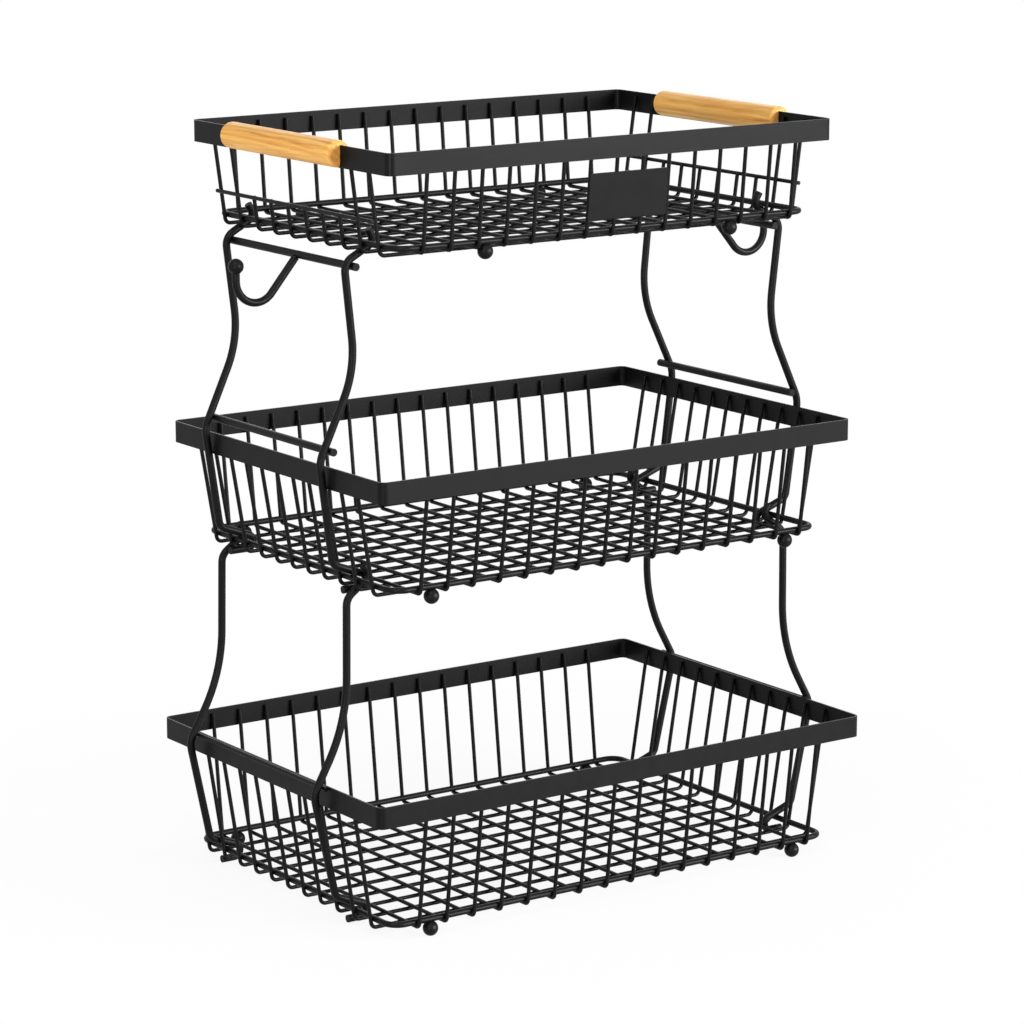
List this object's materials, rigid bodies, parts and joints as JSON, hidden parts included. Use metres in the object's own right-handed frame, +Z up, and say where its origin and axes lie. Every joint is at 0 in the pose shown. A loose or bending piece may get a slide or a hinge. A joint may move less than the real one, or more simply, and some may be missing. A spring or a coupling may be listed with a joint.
{
  "type": "tiered wire basket",
  "caption": "Free-standing tiered basket of welded black wire, with curved side frames, fruit hooks, wooden handles and a bare label plate, for food and small goods.",
  "frame": {"origin": "on the floor, below the middle of the baskets", "axes": "+Z up, +X along the baskets' length to the right, -Y towards the front with the label plate"},
  "size_m": [0.4306, 0.2662, 0.4993],
  "materials": {
    "black_coat": "satin black powder coat on steel wire and strip",
    "wood": "smooth turned light wood, clear satin"
  },
  "bodies": {
    "bottom_tier": {"bottom_ball_feet": "black_coat", "bottom_base_ring": "black_coat", "bottom_cross_wires": "black_coat", "bottom_long_wires": "black_coat", "bottom_rim_band": "black_coat", "lower_left_back_leg": "black_coat", "lower_left_front_leg": "black_coat", "lower_left_rim_rail": "black_coat", "lower_right_back_leg": "black_coat", "lower_right_front_leg": "black_coat", "lower_right_rim_rail": "black_coat"},
    "middle_tier": {"left_fruit_hook": "black_coat", "left_hook_ball": "black_coat", "middle_ball_feet": "black_coat", "middle_base_ring": "black_coat", "middle_cross_wires": "black_coat", "middle_long_wires": "black_coat", "middle_rim_band": "black_coat", "right_fruit_hook": "black_coat", "right_hook_ball": "black_coat", "upper_left_back_leg": "black_coat", "upper_left_front_leg": "black_coat", "upper_left_rim_rail": "black_coat", "upper_left_top_rail": "black_coat", "upper_right_back_leg": "black_coat", "upper_right_front_leg": "black_coat", "upper_right_rim_rail": "black_coat", "upper_right_top_rail": "black_coat"},
    "top_tier": {"label_plate": "black_coat", "left_handle": "wood", "left_side_rod": "black_coat", "right_handle": "wood", "right_side_rod": "black_coat", "top_ball_feet": "black_coat", "top_base_ring": "black_coat", "top_cross_wires": "black_coat", "top_long_wires": "black_coat", "top_rim_band": "black_coat"}
  },
  "joints": [
    {"name": "middle_tier_lift", "type": "slide", "parent": "bottom_tier", "child": "middle_tier", "axis": [0, 0, 1], "range_m": [0, 0.15]},
    {"name": "top_tier_lift", "type": "slide", "parent": "middle_tier", "child": "top_tier", "axis": [0, 0, 1], "range_m": [0, 0.15]}
  ]
}
